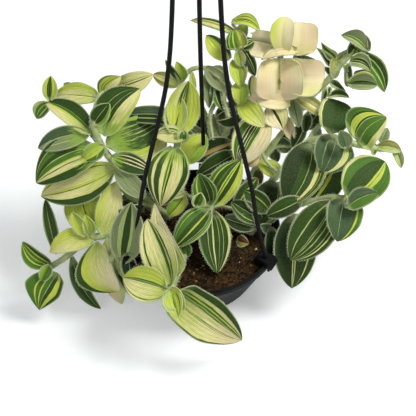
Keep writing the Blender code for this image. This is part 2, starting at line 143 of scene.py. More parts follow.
# The leaves that the CAD holds.  A row gives the leaf's number, its width, how far its upper
# face looks up for each step that it looks to the front, how far it arches towards that face,
# how far it sweeps towards its right-hand edge, and its stripes from the left-hand edge to the
# right-hand one, as colours with their shares of the width.  A ~ makes a stripe's first edge
# soft.  Where the leaf grows from and where its tip lies come from its node.
# Left and right are as seen with the tip up.  A row may end with what else is its own:
#   outline      where it isn't "ovate"
#   cup, keel    how far the blade is dished, and how sharply it folds along its middle
#   wash         how far along the leaf its stripes begin, out of a plain wash_tint
#   tip          the colour of its ending
#   specks       how freely it is strewn with brown dots, from 0 to 1
#   veins, nap   how strongly its veins and its bloom of hairs show
#   shift        a step (right, up, out) that moves it off its node
#   reach        its direction, length and rise, as in SPRIG_LEAVES, in place of its node's
CAD_LEAVES = {
    "left_high": [
        (1, 32, 2, 4, 4,
         "dark 22, pale 1.5, cream 13, dark 2, cream 5, lime 3, green 12, pale 1.5, dark 10, green 14, "
         "pale 1.5, dark 12",
         {"wash": 0.22, "shift": (-2, 0, 0)}),
        (2, 29, 2, 3, -4,
         "dark 22, cream 24, dark 2, lime 6, cream 30, dark 3, lime 12", {"specks": 0.4}),
        (3, 37, 1.2, 4, 8,
         "fresh 6, dark 8, pale 1, dark 8, pale 1, dark 8, pale 1, dark 8, pale 1, dark 24, lime 12, "
         "cream 21",
         {"wash": 0.3}),
        (4, 27, 2, 4, -5,
         "dark 30, pale 1, dark 16, pale 1, dark 12, cream 30, lime 9",
         {"wash": 0.25, "shift": (0, 3, 0)}),
        (5, 17, 2, 3, 3, "cream 34, lime 8, dark 2, green 12, pale 1, dark 43"),
        (6, 17, 2, 3, 1, "cream 44, dark 3, cream 26, lime 27", {"shift": (1.5, -2, 0)}),
    ],
    "crest": [
        (1, 25, 0, -3, 0,
         "lime 12, ~cream 18, green 5, dark 5, pale 2, dark 5, pale 2, dark 6, ~lime 25, lime 20",
         {"wash": 0.55, "wash_tint": "lime"}),
        (2, 30, 2, 6, 0,
         "pale 4, dark 13, cream 28, dark 5, lime 3, green 5, cream 9, dark 16, cream 7, dark 8, "
         "pale 3",
         {"wash": 0.15}),
    ],
    "centre": [
        (1, 17.5, 0.5, 2, 0,
         "green 18, pale 2, lime 5, green 15, dark 20, pale 2, dark 20, pale 2, green 16"),
        (2, 20, 2, 4, 0,
         "pale 3, green 5, pale 2, green 6, pale 2, dark 20, lime 7, dark 20, green 20, pale 2, "
         "green 13"),
        (3, 23, 3, 5, 0,
         "cream 7, dark 14, pale 1.5, dark 12, pale 1.5, dark 16, cream 4, dark 14, pale 1.5, dark 20, "
         "green 8",
         {"shift": (1, -1, 0)}),
        (4, 22, 2, 3, -1,
         "green 12, lime 3, dark 14, green 6, dark 8, lime 4, green 4, lime 5, dark 16, lime 22"),
    ],
    "left_inner": [
        (1, 18, 1, 2, 0, "dark 6, ivory 5, dark 6, ivory 5, dark 6, ivory 5, dark 6, ivory 4, dark 57"),
    ],
    "front": [
        (1, 23, 0.6, 2, 0, "cream 12, dark 4, cream 44, green 5, dark 6, pale 3, dark 5, cream 21"),
        (2, 25, 0.8, 2, -2, "cream 30, dark 3, ivory 12, ~cream 26, ~ivory 29", {"outline": "drop"}),
        (3, 25, 1, 4, 1, "cream 7, green 3, cream 40, green 4, pale 2, green 6, lime 38"),
        (4, 34, 0.6, 5, -1,
         "dark 16, pale 1.5, cream 8, green 5, lime 3, green 5, pale 2, green 3, cream 17, green 1.5, "
         "cream 2, green 1.5, cream 31, dark 4",
         {"outline": "broad", "tip": "pink"}),
    ],
    "left_low": [
        (1, 29, 0.7, 0, 0, "lime 46, dark 2.5, lime 30, ~fresh 20"),
        (2, 17, 2, 5, 3, "cream 44, ~lime 56"),
        (3, 28, 0.8, 6, 9, "~ivory 24, ~cream 34, ~lime 26, dark 16"),
        (4, 11, 0.8, 3, 4, "dark 40, grey 5, dark 30, slate 25"),
        (5, 27, 0.8, 4, 4,
         "dark 12, lime 14, dark 12, pale 2, green 12, lime 4, green 12, lime 4, green 28",
         {"outline": "rhomb", "shift": (-1.5, 0, 0)}),
    ],
    "pale": [
        (1, 17, 0.3, 4, -2,
         "lime 22, ~cream 40, ~ivory 38", {"outline": "blunt", "veins": 0.2, "shift": (0, -0.5, 0)}),
        (2, 27, 0.6, 2, 0,
         "cream 30, ~ivory 30, ~pink 40",
         {"outline": "square", "specks": 1.0, "veins": 0.15, "shift": (10, 0, -3), "reach": (89, 25, 0)}),
        (3, 34, 1, 4, 0,
         "ivory 12, ~pink 36, olive 2, ~ivory 20, ~pink 30",
         {"outline": "square", "veins": 0.2, "keel": 0.2}),
        (4, 27, 1, 3, 3, "pink 36, ~ivory 34, ~cream 30", {"outline": "square", "veins": 0.15}),
        (5, 27, 2, 4, 0,
         "ivory 38, ~cream 4, green 8, pale 2, dark 6, ivory 2, dark 6, ivory 2, dark 6, ivory 2, "
         "green 16, cream 8"),
    ],
    "top": [
        (1, 7, 1, 3, 2, "green 14, cream 52, ~lime 10, dark 24", {"tip": "tan"}),
        (2, 17, 1, 4, 0, "lime 100", {"tip": "ivory"}),
    ],
    "far_right": [
        (1, 14, 1, 2, -4, "pale 6, dark 26, pale 4, green 24, pale 6, green 34"),
    ],
    "right_high": [
        (1, 30, 2, 3, -5,
         "green 16, dark 4, lime 15, dark 6, pale 1.5, green 18, pale 1.5, green 24, cream 14",
         {"outline": "heart"}),
        (2, 30, 1, 3, -1,
         "slate 8, green 5, cream 14, slate 24, pale 1, slate 20, pale 1, slate 27",
         {"outline": "heart"}),
        (3, 25, 1, 2, 0, "pale 6, cream 4, dark 90", {"outline": "blunt"}),
        (4, 32, 2, 5, -2,
         "dark 4, lime 1, dark 5, lime 1, dark 5, cream 9, dark 14, pale 1, dark 20, deep 40"),
        (5, 25, 2, 3, 0, "dark 10, pale 3, dark 6, pale 2, dark 5, pale 2, deep 72"),
    ],
    "right_low": [
        (4, 33, 2, 3, -1,
         "cream 6, green 20, dark 34, lime 6, green 2, lime 8, green 24", {"shift": (-1.5, -3, 0)}),
        (1, 26, 1, 3, 0, "green 12, lime 6, slate 40, pale 1, slate 41", {"outline": "heart"}),
        (2, 31, 2, 4, -1,
         "dark 10, cream 4, dark 5, pale 1.5, dark 10, pale 2, dark 8, pale 2, dark 4, pale 2, "
         "dark 20, pale 3, dark 28",
         {"shift": (1, -1, 0)}),
        (3, 31, 1.5, 6, 0,
         "dark 16, cream 3, dark 26, cream 3, dark 4, cream 3, deep 45", {"shift": (0, -2, 0)}),
    ],
}

# Small and hidden leaves that only the looks have: the point each grows from and its tip, then
# what a row has above from its width on.
SMALL_LEAVES = {
    "left_high": [
        ((-76, 42, 66), (-64, 48, 80), 13, 1, 1, 0, "dark 44, pale 3, dark 30, fresh 20", {"cup": 0.45}),
        ((-110, 65, 68), (-108, 73, 84), 11, 0, 1, 0,
         "lime 30, dark 8, green 4, dark 10, pale 2, dark 8, lime 38"),
        ((-88, 68, 67), (-101, 80, 71), 8, 1, 1, 1, "green 20, pale 15, dark 15, cream 20, green 30"),
        ((-72, 67, 68), (-57, 71, 85), 13, 1, 2, -3,
         "dark 10, lime 18, green 4, lime 8, green 4, lime 12, cream 44"),
        ((-65, 75, 70), (-34, 77, 82), 16, 1, 2, 1.5,
         "cream 35, dark 3, cream 8, dark 5, cream 49", {"specks": 0.5}),
        ((-110, 64, 67), (-121, 59, 55), 11, 0.5, 1, 2,
         "green 20, pale 8, green 20, pale 8, green 20, pale 24"),
        ((-14, 83, 70), (-25, 83, 90), 6, 0, 1, 0, "dark 100"),
        ((-14, 83, 70), (-17, 84, 88), 9, 0, 1, 2, "lime 60, fresh 40"),
    ],
    "centre": [
        ((-3, 0, 24), (1, 6, 32), 10, 0.5, 1, 0, "pale 20, dark 30, green 30, pale 20", {"cup": 1.0}),
        ((26, 11, 10), (43, 30, 22), 12, 2, 2, 0, "dark 45, lime 12, dark 43"),
        ((28, -8, -4.5), (36, -14, -1.5), 9, 1, 2, 0, "brown 60, olive 40"),
        ((17, -4, -4.5), (24, -10, 1.5), 8, 1, 2, 0, "brown 50, tan 50"),
    ],
    "left_inner": [
        ((-60, 28, 17), (-32, 15, 7), 12, 1, 2, 0, "grey 70, pale 30"),
        ((-62, 20, 8), (-38, 19, 3), 12, 2, 2, 0, "dark 20, pale 6, dark 20, pale 6, dark 48"),
        ((-52, -28, 6), (-50, -37, -16), 11, 0.4, 1, 0, "deep 45, pale 3, deep 52"),
        ((-45, 8, 8), (-58, -4, 24), 20, 0.6, 2, 0, "deep 40, pale 3, slate 57"),
    ],
    "front": [
        ((-20, -67, 14), (-14, -84, 8), 14, 1, 3, 0,
         "lime 14, green 6, lime 16, fresh 10, green 5, lime 34, pale 15", {"cup": 0.5}),
        ((-19, -66, 16), (-10, -80, 10), 14, 1, 2, 2, "lime 70, pale 30", {"cup": 0.5}),
        ((-60, -29, -12), (-42, -43, -35), 10, 0.6, 1, 0, "deep 100"),
    ],
    "left_low": [
        ((-71, -13, 8), (-61, 17, 32), 18, 0.5, 1, 0, "lime 14, ~cream 86"),
        ((-81, -19, 14), (-91, -9, 28), 10, 0.5, 1, 0, "lime 60, ~fresh 40"),
        ((-79, -18, 13), (-82, -10, 26), 9, 0.5, 1, 2, "lime 70, fresh 30", {"cup": 0.6}),
        ((-104, -21, -5), (-113, 9, 22), 10, 0.8, 2, 0, "dark 40, grey 5, dark 55"),
        ((-109, -27, -11), (-129, -17, 4), 14, 1, 2, -3.5,
         "green 26, lime 6, green 16, lime 6, green 16, lime 6, dark 24"),
        ((-109, -30, -6), (-115, -39, -14), 9, 0.8, 1, 0, "green 60, ~fresh 40"),
    ],
    "pale": [
        ((63, 70, 48), (70, 56, 34), 9, 1, 2, 0, "pink 100"),
    ],
    "top": [
        ((26, 100, 90), (34, 110, 104), 10, 1, 1, 0, "lime 60, ~fresh 40"),
    ],
    "far_right": [
        ((94, 76, 70), (90, 70, 60), 5, 1, 1, 0, "dark 60, pale 40", {"outline": "lance"}),
        ((90, 76, 46), (79, 65, 38), 14, 1, 1, 0, "deep 44, pale 4, deep 52"),
        ((78, 66, 44), (70, 54, 30), 11, 1, 2, 0, "slate 30, pale 4, deep 66"),
    ],
    "right_high": [
        ((105, 27, 57), (100, 34, 67), 11, 1, 1, 0, "slate 50, grey 50", {"cup": 0.5}),
        ((101, 32, 40), (80, 8, 14), 27, 1, 2, 0, "dark 40, lime 8, deep 52"),
        ((62, 36, 18), (44, 43, 24), 13, 2, 2, 0, "lime 44, dark 8, lime 48"),
        ((88, 56, 50), (84, 46, 34), 8, 1, 1, 0, "grey 60, pale 40"),
    ],
    "right_low": [
        ((103, -14, 39), (125, -6, 45), 14, 2, 2, -2, "slate 48, pale 3, green 49"),
        ((50, -2, 2), (44, -9, 14), 8, 1, 2, 0, "slate 100"),
    ],
}

# The plant turns its leaves to the front and the light, so directions on its sprigs are
# given on the plane that they face from: degrees anticlockwise from the right, with "up"
# along the plane and "out" away from it.
FACE_TILT = math.radians(50)
UP = Vector((0, math.sin(FACE_TILT), math.cos(FACE_TILT)))
OUT = Vector((0, -math.cos(FACE_TILT), math.sin(FACE_TILT)))

# Small leaves that grow from a stalk: which stalk (0 for the shoot's own, then its side
# stalks), how far along it as a share, how far the foot stands off (right, up, out), the
# direction, length and rise of the blade, then the same as above from its width on.
SPRIG_LEAVES = {
    "left_high": [
        (0, 0.45, (-3, 6, 5), (340, 30, 0), 15, 1.4, 3, 0,
         "dark 16, ivory 6, dark 12, ivory 6, dark 12, ivory 5, dark 43", {"wash": 0.2}),
        (0, 0.45, (0, -4, 4), (317, 29, 0), 14, 1.4, 3, 0, "grey 40, pale 8, grey 52", {"nap": 0.2}),
        (0, 0.62, (3, -2, 2), (214, 18, 0), 13, 1.4, 2, 0, "green 30, lime 30, ~fresh 40"),
        (0, 0.7, (-6, 0, -3), (196, 38, 0), 17, 1, 2, 2,
         "grey 30, pale 3, grey 22, pale 3, slate 42", {"wash": 0.3}),
    ],
    "crest": [
        (0, 0.5, (-3, 8, 4), (82, 28, 3), 17, 0.3, -2, 0,
         "pale 10, dark 25, pale 4, lime 6, green 20, lime 20, pale 15", {"cup": 0.5}),
        (0, 0.5, (6, 4, 3), (174, 23, 0), 14, 2, 3, 1,
         "cream 55, dark 3, cream 8, dark 4, cream 6, green 8, cream 16"),
        (0, 0.5, (3, 1, 3), (76, 9, 0), 9, 0.6, 2, 0, "pale 20, green 60, pale 20", {"cup": 0.9}),
        (0, 0.5, (4, -13, -7), (50, 27, 0), 19, 2, 2, 0, "lime 60, ~fresh 40"),
        (0, 1.0, (-2, -2, 0), (157, 21, 0), 11, 1, 2, 0, "olive 30, cream 40, olive 30"),
        (2, 0.6, (0, 0, 0), (208, 13, 0), 9, 1, 2, 0, "grey 40, pale 4, slate 56"),
        (0, 0.7, (-2, 2, -3), (178, 45, 0), 14, 1.5, 5, 1, "deep 30, pale 4, deep 20, pale 4, slate 42"),
        (1, 0.3, (0, -2, 0), (276, 19, 0), 5, 0.5, 1, 0, "lime 60, pale 40"),
        (1, 0.55, (2, -2, 0), (272, 28, 1), 9, 0.5, 1, 0, "dark 55, ~grey 45"),
        (1, 0.5, (2, 0, 1), (318, 27, 0), 13, 1, 3, 1, "grey 34, pale 12, grey 54", {"nap": 0.2}),
        (1, 0.8, (0, -2, 0), (278, 26, 0), 11, 0.5, 2, 2, "green 30, pale 6, deep 30, pale 6, green 28"),
        (1, 1.0, (0, -1, 0), (292, 19, 0), 8, 0.5, 2, 0, "slate 40, pale 6, deep 54"),
        (1, 0.7, (-2, 1, 1), (330, 16, 0), 9, 1, 3, -1,
         "grey 20, pale 14, grey 22, deep 10, grey 34", {"keel": 0.3}),
    ],
    "centre": [
        (0, 1.0, (-19, 9, -4), (231, 20, 0), 12, 1, 2, 0, "lime 44, dark 5, fresh 51"),
        (0, 1.0, (-17, 11, -1), (200, 15, 0), 4, 1, 1, 0, "cream 100"),
    ],
    "left_inner": [
        (0, 0.1, (-14, -44, 30), (78, 41, 30), 24, 1, 0, 1, "grey 20, pale 14, dark 22, pale 8, grey 36"),
    ],
    "front": [
        (0, 0.1, (0, 8, 3), (280, 10, 0), 8, 1, 1, 0, "green 44, lime 8, green 48"),
    ],
    "left_low": [
        (0, 0.45, (1, -1, 1), (278, 52, -20), 17, 0.8, 4, 2, "pale 34, ~pink 66"),
    ],
    "pale": [
        (0, 1.0, (-2, 3, 0), (168, 21, 0), 20, 1, 2, 0,
         "~ivory 60, grey 2, ~ivory 38", {"outline": "square", "veins": 0.15, "keel": 0.2}),
        (0, 1.0, (-5, 9, -5), (158, 18, 0), 8, 1.4, 1, 0,
         "~ivory 60, pale 40", {"outline": "lance", "veins": 0.3}),
        # The olive band along this leaf's upper edge is painted shade, where the leaf above it overlaps
        (0, 1.0, (12, 0, 4), (193, 27, 1), 9, 1.6, 2, 3,
         "pink 30, ~ivory 60, olive 10", {"outline": "broad", "veins": 0.3}),
        (0, 1.0, (10, -2, -7), (340, 26, 0), 8, 1, 2, 0, "slate 40, pale 4, deep 56"),
        (0, 0.75, (10, -7, 3), (174, 32, 0), 14, 1, 3, 0,
         "~ivory 30, ~pink 70", {"outline": "broad", "veins": 0.4}),
        (0, 0.88, (-20, -3, 0), (268, 16, 0), 7, 1, 1, 0, "cream 74, dark 26"),
        (0, 0.75, (-4, -11, 0), (299, 19, 0), 19, 1, 2, 0,
         "cream 40, dark 12, ivory 48", {"outline": "rhomb"}),
        (0, 0.75, (12, 2, 1), (324, 29, 0), 11, 1, 3, 1,
         "olive 34, ~cream 36, ~olive 30", {"outline": "blunt", "veins": 0.4}),
        (0, 0.75, (7, 2, 1), (28, 10, 0), 7, 1, 1, 0,
         "brown 50, olive 50", {"outline": "broad", "cup": 0.9}),
        (0, 0.75, (12, -3, -4), (283, 23, 0), 10, 1, 2, 0, "grey 46, slate 8, grey 46"),
        (0, 0.75, (10, -4, -6), (330, 12, 0), 5, 1, 1, 0, "deep 100", {"outline": "lance"}),
    ],
    "top": [
        (0, 1.0, (-2, -11, 2), (102, 15, 1), 16, 0.6, 3, 0,
         "dark 12, fresh 6, green 14, lime 6, green 16, ~lime 28, ~olive 18",
         {"outline": "heart", "cup": 0.35}),
        (0, 1.0, (-7, 9, 2), (343, 22, 0), 10, 2, 5, -3,
         "fresh 12, lime 12, dark 5, lime 14, dark 6, lime 12, dark 6, lime 33"),
        (0, 0.86, (-6, -1, 0), (134, 25, 0), 14, 1, 1, -1, "lime 66, ~fresh 10, dark 24"),
        (0, 1.0, (0, -9, 0), (28, 11, 0), 10, 1, 3, 0,
         "dark 20, pale 8, dark 12, pale 6, dark 14, pale 6, dark 34"),
        (0, 1.0, (1, -10, 0), (296, 22, 0), 10, 1, 2, 0, "deep 30, pale 5, deep 12, pale 4, deep 49"),
        (0, 1.0, (-2, -12, 2), (281, 12, 0), 8, 1, 1, 0, "olive 60, ~fresh 40"),
        (0, 0.86, (-1, -2, 2), (279, 20, 0), 13, 1, 3, 0,
         "olive 30, ~fresh 20, ~lime 50", {"outline": "broad"}),
        (0, 0.73, (-1, -3, 2), (268, 16, 0), 13, 1, 3, 0, "fresh 40, ~lime 60", {"outline": "broad"}),
        (0, 0.45, (-11, 2, 1), (24, 23, 0), 19, 1, 3, 1,
         "deep 24, pale 4, deep 30, pale 4, deep 38", {"cup": 0.4}),
        (0, 0.33, (-2, -3, -4), (100, 26, 0), 13, 1, 2, 0,
         "grey 30, pale 5, grey 34, pale 5, grey 26", {"nap": 0.2}),
        (0, 0.33, (6, 0, -4), (82, 26, 0), 13, 1, 2, 0, "slate 60, pale 5, deep 35"),
        (0, 0.33, (-9, 3, -6), (112, 27, 0), 12, 1, 2, 0, "deep 44, pale 4, slate 52"),
        (0, 0.33, (2, -2, -7), (91, 22, 0), 13, 1, 2, 0, "deep 46, pale 4, deep 50"),
        (0, 0.33, (-9, -3, -5), (138, 27, 0), 12, 1, 2, 0, "slate 40, pale 5, grey 55", {"nap": 0.2}),
        (0, 0.33, (8, 0, 1), (205, 33, 0), 16, 1, 3, 2, "deep 34, tan 14, olive 8, deep 44"),
        (0, 0.33, (10, -8, 2), (211, 34, 0), 16, 1, 4, 0, "deep 22, pale 3, deep 22, pale 3, dark 50"),
    ],
    "far_right": [
        (0, 0.8, (4, 1, 2), (86, 15, 0), 8, 0.5, 1, 0,
         "olive 30, ~lime 40, ~fresh 30", {"outline": "blunt", "cup": 0.6}),
        (0, 0.8, (4, 10, 1), (132, 19, 0), 7, 1, -2, 1,
         "dark 50, pale 50", {"outline": "lance", "keel": 0.5}),
        (0, 0.8, (6, 15, 1), (130, 17, 0), 8, 1, -2, -1,
         "dark 40, green 40, pale 20", {"outline": "lance", "keel": 0.5}),
        (0, 0.8, (6, 14, 1), (42, 14, 0), 6, 1, 1, 0,
         "pale 45, grey 35, pale 20", {"outline": "lance", "keel": 0.4}),
        (0, 0.8, (4, 4, 1), (143, 11, 0), 5, 1, 1, 0, "dark 40, pale 15, dark 45", {"outline": "lance"}),
        (0, 1.0, (-4, -5, 0), (65, 14, 0), 10, 0.6, 2, 0,
         "dark 60, green 16, pale 4, green 20", {"cup": 0.5}),
        (0, 1.0, (8, 0, 2), (149, 21, 0), 11, 1, 4, 3,
         "grey 20, pale 8, green 16, pale 8, grey 42, brown 6", {"keel": 0.3}),
        (0, 1.0, (10, -1, 1), (112, 14, 0), 7, 1, 2, 0, "slate 84, brown 16"),
        (0, 1.0, (-4, -8, 3), (333, 17, 0), 11, 1, 3, -3,
         "pale 6, grey 24, pale 6, dark 14, pale 6, dark 14, pale 6, grey 24",
         {"outline": "heart", "keel": 0.4}),
        (0, 0.91, (4, -1, 0), (268, 17, 0), 6, 0.5, 1, 0,
         "dark 60, pale 8, green 32", {"outline": "blunt"}),
        (0, 0.91, (3, -16, 2), (357, 22, 0), 13, 1, 3, -2,
         "lime 8, grey 30, pale 6, dark 26, grey 30", {"keel": 0.5}),
        (0, 0.91, (8, -8, 1), (330, 14, 0), 7, 1, 2, -2, "olive 25, ~dark 20, ~lime 55"),
        (0, 0.8, (2, -1, 0), (328, 13, 0), 6, 1, 1, 0, "dark 70, pale 30", {"outline": "lance"}),
        (0, 0.8, (0, -12, -1), (358, 16, 0), 6, 1, 1, -3, "dark 70, pale 30"),
        (0, 0.8, (1, -5, 1), (262, 7, 0), 4, 1, 1, 0, "pale 25, deep 50, pale 25", {"outline": "lance"}),
        (0, 0.6, (5, -3, -1), (262, 15, 0), 8, 1, 1, 0, "deep 70, slate 30"),
        (0, 0.33, (19, 1, -2), (146, 16, 0), 18, 1, 1, 0, "slate 60, pale 3, deep 37"),
        (0, 0.33, (1, 1, -3), (298, 12, 0), 9, 1, 1, 0, "deep 100"),
        (0, 0.25, (-2, 2, 3), (218, 12, 0), 9, 1, 1, 0, "pink 40, tan 60"),
        (0, 0.25, (-3, -7, 1), (262, 16, 0), 9, 1, 1, 0, "brown 40, slate 60"),
    ],
    "right_high": [
        (0, 0.95, (1, 1, 0), (349, 19, 0), 9, 1, 4, -2, "olive 50, ~pale 50"),
        (0, 1.0, (7, 2, 0), (292, 17, 0), 7, 1, 2, -1, "grey 50, pale 50"),
        (0, 1.0, (-2, 5, 0), (63, 12, 0), 8, 1, 1, 0, "grey 40, pale 10, grey 50"),
        (0, 0.95, (-1, -5, 0), (85, 9, 0), 5, 1, 1, 0, "lime 40, cream 20, green 40"),
    ],
    "right_low": [
        (0, 0.1, (9, -2, 3), (270, 26, 0), 10, 1, 2, 0, "deep 100"),
        (0, 0.12, (0, 2, 3), (147, 26, 2), 15, 1, 3, 0, "dark 20, pale 4, dark 26, pale 4, deep 46"),
        (0, 0.1, (-3, -2, 3), (163, 24, 0), 13, 1, 2, 0, "deep 44, pale 4, slate 52"),
        (0, 0.25, (-3, 4, 3), (140, 24, 0), 15, 1, 3, 0, "dark 60, lime 6, dark 34"),
        (0, 0.55, (0, 3, 5), (205, 28, 0), 14, 1.4, 3, 0, "deep 44, pale 3, dark 53"),
    ],
}

# The stems' routes, from the potting mix to their tips, the same as in the part's source
STEMS = {
    "left_high": [(-25, 14, -2), (-36, 17, 8), (-50, 22, 26), (-63, 28, 41), (-71, 34, 52),
                  (-76, 42, 65), (-75, 56, 71), (-70, 70, 72)],
    "crest": [(-12, 27, -2), (-14, 30, 8), (-17, 36, 26), (-17, 42, 42), (-14, 55, 50),
              (-13, 70, 60), (-14, 84, 68)],
    "centre": [(8, 14, -2), (8, 11, 6), (8, 4, 18)],
    "front": [(-10, -22, -2), (-11, -28, 2), (-14, -42, 6), (-18, -56, 7), (-20, -63, 8)],
    "left_low": [(-28, -8, -2), (-34, -9, 3), (-50, -11, 7), (-66, -13, 7), (-78, -15, 6),
                 (-90, -19, -1), (-100, -24, -7), (-109, -28, -11)],
    "left_inner": [(-38, 22, -2), (-42, 24, 5), (-52, 28, 15), (-62, 34, 28), (-72, 44, 38),
                   (-81, 52, 46)],
    "pale": [(20, 36, -2), (23, 42, 6), (34, 54, 28), (47, 64, 48), (56, 74, 64),
             (59, 84, 78), (59, 92, 90)],
    "top": [(4, 40, -2), (7, 45, 8), (17, 58, 32), (28, 74, 56), (31, 83, 71),
            (28, 92, 84), (30, 102, 98)],
    "far_right": [(28, 30, -2), (33, 35, 5), (54, 56, 28), (76, 71, 54), (94, 79, 74),
                  (104, 85, 86), (113, 91, 93)],
    "right_high": [(34, 14, -2), (39, 18, 4), (58, 33, 22), (78, 45, 42), (94, 44, 51),
                   (105, 36, 54), (120, 36, 49), (134, 37, 45)],
    "right_low": [(38, -1, -2), (43, 0, 3), (56, 3, 10), (74, 5, 21), (92, 3, 30), (105, -3, 36)],
}

# Side stalks, which only the looks have: radius, where each leaves the shoot's own stalk as a
# share, and its run from there (right, up, out)
SIDE_STEMS = {
    "left_high": [
        (1.5, 0.95, [(0, 0, 0), (-12, 1, -5), (-25, 0, -6), (-37, -3, -2)]),
    ],
    "centre": [
        (1.4, 1.0, [(0, 0, 0), (-6, 3, -2), (-13, 7, -4), (-19, 10, -4)]),
        (1.4, 0.8, [(0, 0, 0), (7, 2, -4), (12, 1, -6), (18, 0, -7)]),
    ],
    "left_inner": [
        (1.5, 0.1, [(0, 0, 0), (-7, 1, 3), (-14, 0, 5), (-20, -1, 5)]),
        (1.4, 0.1, [(0, 0, 0), (-1, -5, 7), (-3, -10, 12)]),
    ],
    "left_low": [
        (1.6, 0.35, [(0, 0, 0), (-2, -8, 5), (-5, -16, 7), (-9, -25, -1)]),
    ],
    "far_right": [
        (1.4, 0.6, [(0, 0, 0), (6, 1, -5), (11, 0, -8), (14, -1, -9)]),
        (1.4, 0.33, [(0, 0, 0), (7, 2, 0), (13, 2, -1), (19, 1, -2)]),
        (1.2, 0.91, [(0, 0, 0), (2, -6, 1), (3, -11, 1), (3, -16, 2)]),
        (1.2, 1.0, [(0, 0, 0), (5, 0, 1), (10, -1, 1)]),
    ],
    "right_low": [
        (1.5, 1.0, [(0, 0, 0), (-1, -2, 4), (-2, -5, 7), (-2, -7, 9)]),
    ],
    "crest": [
        (1.9, 1.0, [(0, 0, 0), (3, 6, 0), (8, 10, 1), (15, 11, 1), (22, 10, 1), (29, 6, 0), (34, 1, -1)]),
        (1.5, 0.7, [(0, 0, 0), (-6, 7, 0), (-12, 11, -1)]),
    ],
    "top": [
        (1.7, 0.6, [(-8, 9, 0), (-17, -1, -1), (-21, -12, -2), (-18, -32, -4)]),
        (1.6, 0.73, [(-13, 1, 0), (-13, -14, 0), (-9, -30, 0)]),
        (2.5, 0.33, [(0, 0, 0), (-6, 9, -1), (-12, 20, -2), (-17, 31, -3)]),
        (1.3, 1.0, [(0, 0, 0), (-4, 5, 1), (-7, 9, 2)]),
    ],
    "right_high": [
        (1.6, 0.53, [(0, 0, 0), (8, 12, 0), (14, 15, -3)]),
        (1.5, 0.3, [(0, 0, 0), (-8, 7, 0), (-14, 16, 2)]),
        (1.6, 0.77, [(0, 0, 0), (-1, -4, -4), (-3, -8, -7), (-4, -12, -8)]),
    ],
}

# ---------------------------------------------------------------- materials
def linear(code):
    """A linear colour from an sRGB hex value."""
    parts = [int(code[i:i + 2], 16) / 255 for i in (1, 3, 5)]
    return (*[c / 12.92 if c < 0.04045 else ((c + 0.055) / 1.055) ** 2.4 for c in parts], 1.0)


def feed(tree, node, inputs):
    """Gives a node's inputs their values or links; a node stands for its first output."""
    for key, value in inputs.items():
        if isinstance(value, bpy.types.Node):
            value = value.outputs[0]
        if isinstance(value, bpy.types.NodeSocket):
            tree.links.new(value, node.inputs[key])
        else:
            node.inputs[key].default_value = value


def add(tree, kind, inputs, **settings):
    """One node with its settings and links."""
    made = tree.nodes.new("ShaderNode" + kind)
    for key, value in settings.items():
        setattr(made, key, value)
    feed(tree, made, inputs)
    return made


def new_material(name):
    """A material with its node tree and its shader."""
    material = bpy.data.materials.new(name)
    material.use_nodes = True
    tree = material.node_tree
    return material, tree, tree.nodes["Principled BSDF"]


def colour_ramp(tree, amount, stops):
    """A ramp of colours; stops are (place, colour) from first to last."""
    made = add(tree, "ValToRGB", {0: amount})
    ramp = made.color_ramp
    ramp.elements[0].position, ramp.elements[0].color = stops[0]
    ramp.elements[1].position, ramp.elements[1].color = stops[-1]
    for place, colour in stops[1:-1]:
        ramp.elements.new(place).color = colour
    return made


def read_bands(bands):
    """[(place, colour)] across a leaf, from words such as "dark 20, cream 13"."""
    pairs = [band.split() for band in bands.split(",")]
    whole = sum(float(share) for _, share in pairs)
    stops, place, before = [], 0.0, None
    for tint, share in pairs:
        wide = float(share) / whole
        soft = 0.5 * wide if tint.startswith("~") else 0.006
        colour = linear(TINTS[tint.strip("~")])
        if before is not None:
            back = min(0.5 * before[1], soft)
            stops.append((max(0.0, place - back), before[0]))
        stops.append((place + (soft if before is not None else 0.0), colour))
        place += wide
        before = (colour, wide)
    stops.append((1.0, before[0]))
    return stops


